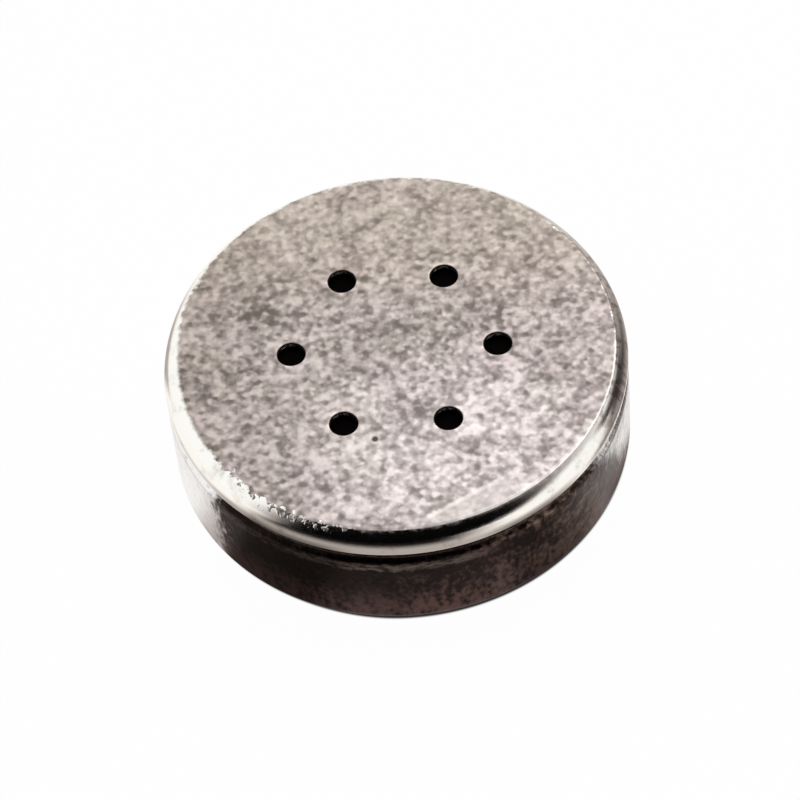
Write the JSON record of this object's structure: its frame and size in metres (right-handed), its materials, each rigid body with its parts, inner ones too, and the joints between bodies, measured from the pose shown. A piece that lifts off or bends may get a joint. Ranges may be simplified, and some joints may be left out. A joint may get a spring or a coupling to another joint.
{
  "type": "telephone microphone capsule",
  "caption": "Round metal carbon microphone capsule for a telephone handset, with a perforated front cap crimped over a grooved case and an insulated contact in its back.",
  "frame": {"origin": "centre of the foot, in the plane that the capsule rests on", "axes": "+Z along the capsule's axis, out through the sound holes in the front cap; +X through one of the sound holes"},
  "size_m": [0.048, 0.048, 0.0142],
  "materials": {
    "cap_sheet": "grained matt face, polished shoulder and skirt",
    "case_sheet": "dark tarnished, worn brighter at the shoulder",
    "card": "pressed card",
    "oiled_silk": "black, oiled",
    "diaphragm_sheet": "bright pressed sheet",
    "brass": "turned",
    "carbon": "matt pressed carbon",
    "felt": "wool felt",
    "phenolic": "moulded, dark brown",
    "red_fibre": "vulcanised fibre"
  },
  "bodies": {
    "root": {"front_cap": "cap_sheet", "gasket_ring": "card", "moisture_membrane": "oiled_silk", "spacer_ring": "card", "diaphragm": "diaphragm_sheet", "contact_ring": "brass", "case": "case_sheet", "damping_ring": "felt", "rivet_washer": "brass", "electrode_rivet": "brass", "front_electrode": "carbon", "carbon_granules": "carbon", "felt_ring": "felt", "chamber_ring": "phenolic", "back_electrode": "carbon", "electrode_holder": "brass", "inner_washer": "red_fibre", "insulating_bush": "red_fibre", "outer_washer": "red_fibre", "contact_button": "brass"}
  },
  "joints": []
}
